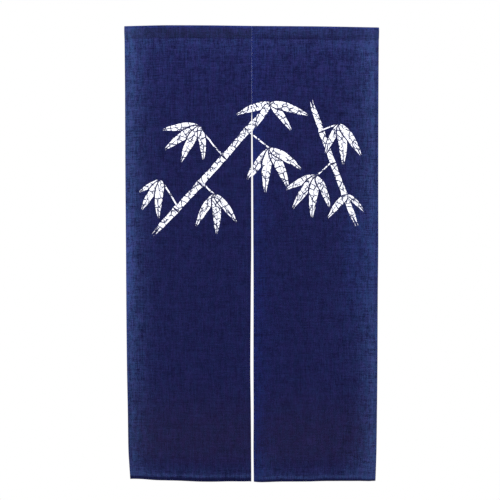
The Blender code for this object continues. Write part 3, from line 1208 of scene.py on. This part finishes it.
# %% [markdown]
# ## The dyed cloth
# Depth of dye runs from deep to pale with the yarn. Painted shade makes it deeper in the gaps between
# threads, under the pocket's bulge and in the foot's fold, and the whole pocket is a little deeper too.
# Over it come the soil, the pale colours of wear and of painted highlight, and a grey tint on the pocket
# that grows towards its foot. An uneven dye bath turns blotches of it towards violet or green. The white
# figure is laid over all that.

# %% The dyed cloth
DEEP_INDIGO = (0.0014, 0.0015, 0.0203, 1)
PALE_INDIGO = (0.0092, 0.0110, 0.0640, 1)
# Pale colours over the dye: the first two are partly rubbing and partly painted highlight on edges and
# folds that catch the lamps, and the third is painted highlight on the left folded edge.
WORN_AND_LIT_INDIGOS = {
    "worn": (0.0195, 0.0330, 0.1135, 1),
    "blue": (0.0055, 0.0132, 0.1000, 1),
    "hand": (0.0270, 0.0440, 0.1650, 1),
}
# Grey of a tint laid over the pocket.
POCKET_GREY = (0.020, 0.030, 0.040, 1)
SOIL = (0.023, 0.012, 0.0065, 1)
VIOLET_BATH = (1.16, 0.93, 1.02, 1)
GREEN_BATH = (0.84, 1.07, 0.98, 1)
BATH_SPREAD = 0.2
# This share holds for painted highlight as much as for wear.
WORN_AND_LIT_SHARE = 0.68                # of the worn colour, where the cloth is fully worn
UNDYED = (0.745, 0.75, 0.815, 1)
CRACK_BLUE = (0.013, 0.019, 0.060, 1)
CRACK_DEPTH = 0.97


def used_dye(wires, at, height, tone, shares):
    """Indigo by dye depth and painted shade, then soil, the pale colours of rubbing and highlight, and a
    grey tint on the pocket.
    """
    in_pocket = wires.ease(at.seam, -1 * MM, -5 * MM)
    # Painted shade under the pocket's bulge, just above its seam.
    pocket_foot_shade = wires.times(wires.ease(at.down, 18 * MM, 36 * MM), in_pocket)
    uneven = wires.times(tone, wires.line(shares["faded"], 1.5, 0.95))
    # Painted shade: the dye is made deeper where the weave is low, in the foot's fold and at the foot of
    # the pocket; the whole pocket is a little deeper too.
    depth = wires.summed(0.3, (height, 0.3), (shares["under"], -0.5), (in_pocket, -0.04))
    depth = wires.summed(depth, (pocket_foot_shade, -0.07), (uneven, 1.0))
    dyed = wires.mixed(depth, DEEP_INDIGO, PALE_INDIGO)
    dyed = wires.mixed(shares["soil"], dyed, SOIL)
    by_yarn = wires.line(tone, 2.4, 1.0)
    for name, colour in WORN_AND_LIT_INDIGOS.items():
        share = wires.node("ShaderNodeClamp", {"Value": wires.times(shares[name], by_yarn, WORN_AND_LIT_SHARE)})
        dyed = wires.mixed(share.outputs[0], dyed, colour)
    # A grey tint over the pocket, more towards its foot and less on the right panel.
    pocket_grey = wires.line(wires.ease(at.down, 6 * MM, 24 * MM), 0.11, 0.01)
    pocket_grey = wires.times(pocket_grey, wires.line(at.right, -0.6, 1.0), in_pocket)
    return wires.mixed(pocket_grey, dyed, POCKET_GREY)


print("worn colours:", list(WORN_AND_LIT_INDIGOS))

# %% [markdown]
# ## The cloth's material
# Yarn this dry has hardly any gloss: it is rough, with a low specular level, and a little blue sheen
# stands in for its fuzz, which catches light where the cloth turns away. Those are the same all over, so
# they are plain numbers on the shader itself. Relief comes from the threads and their slubs.

# %% The cloth's material
def new_material(name):
    """A material, its shader and the shorthand for its nodes."""
    made = bpy.data.materials.new(name)
    made.use_nodes = True
    return made, made.node_tree.nodes["Principled BSDF"], Wiring(made.node_tree)


def finish_shader(wires, shader, colour, bump, same_all_over):
    """Colour and relief from nodes, and plain numbers for the rest."""
    wires.put(shader.inputs["Base Color"], colour)
    wires.put(shader.inputs["Normal"], wires.node("ShaderNodeBump", bump).outputs[0])
    for socket, value in same_all_over.items():
        shader.inputs[socket].default_value = value


def indigo_linen():
    """The dyed cloth with its white figure."""
    made, shader, wires = new_material("indigo_linen")
    flat = wires.node("ShaderNodeUVMap", uv_map="flat_cloth").outputs[0]
    at = measured(wires, flat)
    height, on_top = plain_weave(wires, flat)
    tone, relief = yarn(wires, flat, on_top)
    dyed = used_dye(wires, at, height, tone, wear_and_painted_light(wires, flat, at))
    bath = wires.ease(wires.noise(flat, 15 * MM, 34 * MM, 3.0), -BATH_SPREAD, BATH_SPREAD)
    dyed = wires.mixed(1.0, dyed, wires.mixed(bath, GREEN_BATH, VIOLET_BATH), "MULTIPLY")
    white = wires.mixed(wires.times(cracks(wires, flat), CRACK_DEPTH), UNDYED, CRACK_BLUE)
    colour = wires.mixed(figure(wires, flat), dyed, white)
    bump = {"Height": wires.line(height, 0.2, relief), "Distance": 1.0 * MM, "Strength": 1.0}
    finish_shader(wires, shader, colour, bump, {
        "Roughness": 0.92, "Specular IOR Level": 0.05,
        "Sheen Weight": 0.09, "Sheen Roughness": 0.5, "Sheen Tint": (0.35, 0.45, 1.0, 1),
    })
    return made


LINEN = indigo_linen()
for cloth in cloths.values():
    cloth.data.materials.append(LINEN)
print("nodes in the cloth:", len(LINEN.node_tree.nodes))

# %% [markdown]
# ## Sewing thread
# The thread is a shade paler than the cloth, so that its stitches just show. At this size a thread needs
# little: a colour that changes along it, and a fine slanted wave in relief for the twist of its plies.

# %% Sewing thread
THREAD_DEEP = (0.012, 0.014, 0.06, 1)
THREAD_PALE = (0.04, 0.05, 0.15, 1)


def indigo_thread():
    """Twisted sewing thread."""
    made, shader, wires = new_material("indigo_thread")
    place = wires.node("ShaderNodeTexCoord").outputs["Object"]
    shade = wires.node("ShaderNodeTexNoise", {"Vector": place, "Scale": 260.0, "Detail": 2.0})
    colour = wires.mixed(shade.outputs["Fac"], THREAD_DEEP, THREAD_PALE)
    twist = wires.node("ShaderNodeTexWave", {"Vector": place, "Scale": 900.0}, bands_direction="DIAGONAL")
    bump = {"Height": twist.outputs["Fac"], "Distance": 0.05 * MM, "Strength": 0.4}
    finish_shader(wires, shader, colour, bump, {"Roughness": 0.8, "Specular IOR Level": 0.08})
    return made


SEWING = indigo_thread()
for thread in [*threads.values(), join_thread]:
    thread.data.materials.append(SEWING)
print("nodes in the thread:", len(SEWING.node_tree.nodes))

# %% [markdown]
# ## What belongs to what
# Each panel's sheet stands for two solids of the packed model, its panel and its pocket, because they are
# one cloth. The noren has no moving joint: cloth bends everywhere and turns nowhere, so every piece rides
# on the one body.

# %% What belongs to what
for side, cloth in cloths.items():
    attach(cloth, "root")
    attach(threads[side], "root")
    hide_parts("panel_" + side, "heading_" + side)
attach(join_thread, "root")
print("pieces of thread:", [thread.name for thread in [*threads.values(), join_thread]])

# %% [markdown]
# ## Light
# The noren is seen straight on against white, in light that is soft and comes from nearly everywhere. A
# white world gives that, and it would flatten the folds if it were alone. One large lamp above the
# front lights the rod pocket from the top and leaves its underside darker. One at each side rakes
# the cloth, and so brightens the edges that curl away.

# %% Light
Lamp = namedtuple("Lamp", "name place aim size power")
LAMPS = [
    Lamp("lamp_above", (0, -0.55, 0.45), (0, 0, -0.2), (1.5, 0.3), 11.5),
    Lamp("lamp_left", (-1.9, -0.55, -0.7), (-0.1, 0, -0.75), (0.8, 1.9), 34),
    Lamp("lamp_right", (1.9, -0.55, -0.7), (0.1, 0, -0.75), (0.8, 1.9), 34),
]


def soft_lamp(name, place, aim, size, power):
    """A square area lamp that looks at a point."""
    lamp = bpy.data.lights.new(name, "AREA")
    lamp.shape = "RECTANGLE"
    lamp.size, lamp.size_y = size
    lamp.energy = power
    made = add_object(name, lamp)
    made.location = place
    way = aim[0] - place[0], aim[1] - place[1], aim[2] - place[2]
    made.rotation_euler = Vector(way).to_track_quat("-Z", "Y").to_euler()
    return made


for lamp in LAMPS:
    soft_lamp(*lamp)

world = bpy.data.worlds.new("white_world")
bpy.context.scene.world = world
world.use_nodes = True
world.node_tree.nodes["Background"].inputs["Color"].default_value = (1, 1, 1, 1)
world.node_tree.nodes["Background"].inputs["Strength"].default_value = 1.0
print("lamps:", [lamp.name for lamp in LAMPS])

# %% [markdown]
# ## Floor and camera
# A pale floor lies well below the foot. The camera stands five metres away with a long lens, which keeps
# the upright edges nearly parallel, and looks straight at the cloth, so it needs no shift. Its lens comes
# from the width that the picture should show at the cloth.

# %% Floor and camera
FLOOR = -1.95
FLOOR_SIZE = 2.8
SENSOR = 36.0                  # width in millimetres
CAMERA_DISTANCE = 5.0
CAMERA_ACROSS = -6 * MM
CAMERA_DROP = 742 * MM
FRAME_WIDTH = 1.655            # what the picture shows at the cloth, in metres

half = FLOOR_SIZE / 2
floor_corners = [(-half, -half, FLOOR), (half, -half, FLOOR), (half, half, FLOOR), (-half, half, FLOOR)]
floor = mesh_object("floor", np.array(floor_corners), [(0, 1, 2, 3)])
floor_paint, floor_shader, _ = new_material("pale_floor")
floor_shader.inputs["Base Color"].default_value = (0.85, 0.85, 0.85, 1)
floor.data.materials.append(floor_paint)
floor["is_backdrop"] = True

camera = add_object("camera", bpy.data.cameras.new("camera"))
camera.location = (CAMERA_ACROSS, -CAMERA_DISTANCE, -CAMERA_DROP)
camera.rotation_euler = (math.radians(90), 0, 0)
camera.data.sensor_width = SENSOR
camera.data.lens = SENSOR * CAMERA_DISTANCE / FRAME_WIDTH
bpy.context.scene.camera = camera
bpy.context.scene.view_settings.view_transform = "Standard"
print("lens in mm:", round(camera.data.lens, 1))

# %% [markdown]
# ## Sizes before and after
# The dressed noren must keep the size of the packed one. So its box is measured again, and both boxes are
# kept and printed.

# %% Sizes before and after
visual_low, visual_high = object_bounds()
boxes = {
    "cad": [list(cad_low), list(cad_high)],
    "visual": [list(visual_low), list(visual_high)],
}
for name, (low, high) in boxes.items():
    print(name, "box in mm:", [round((h - l) / MM, 1) for l, h in zip(low, high)])
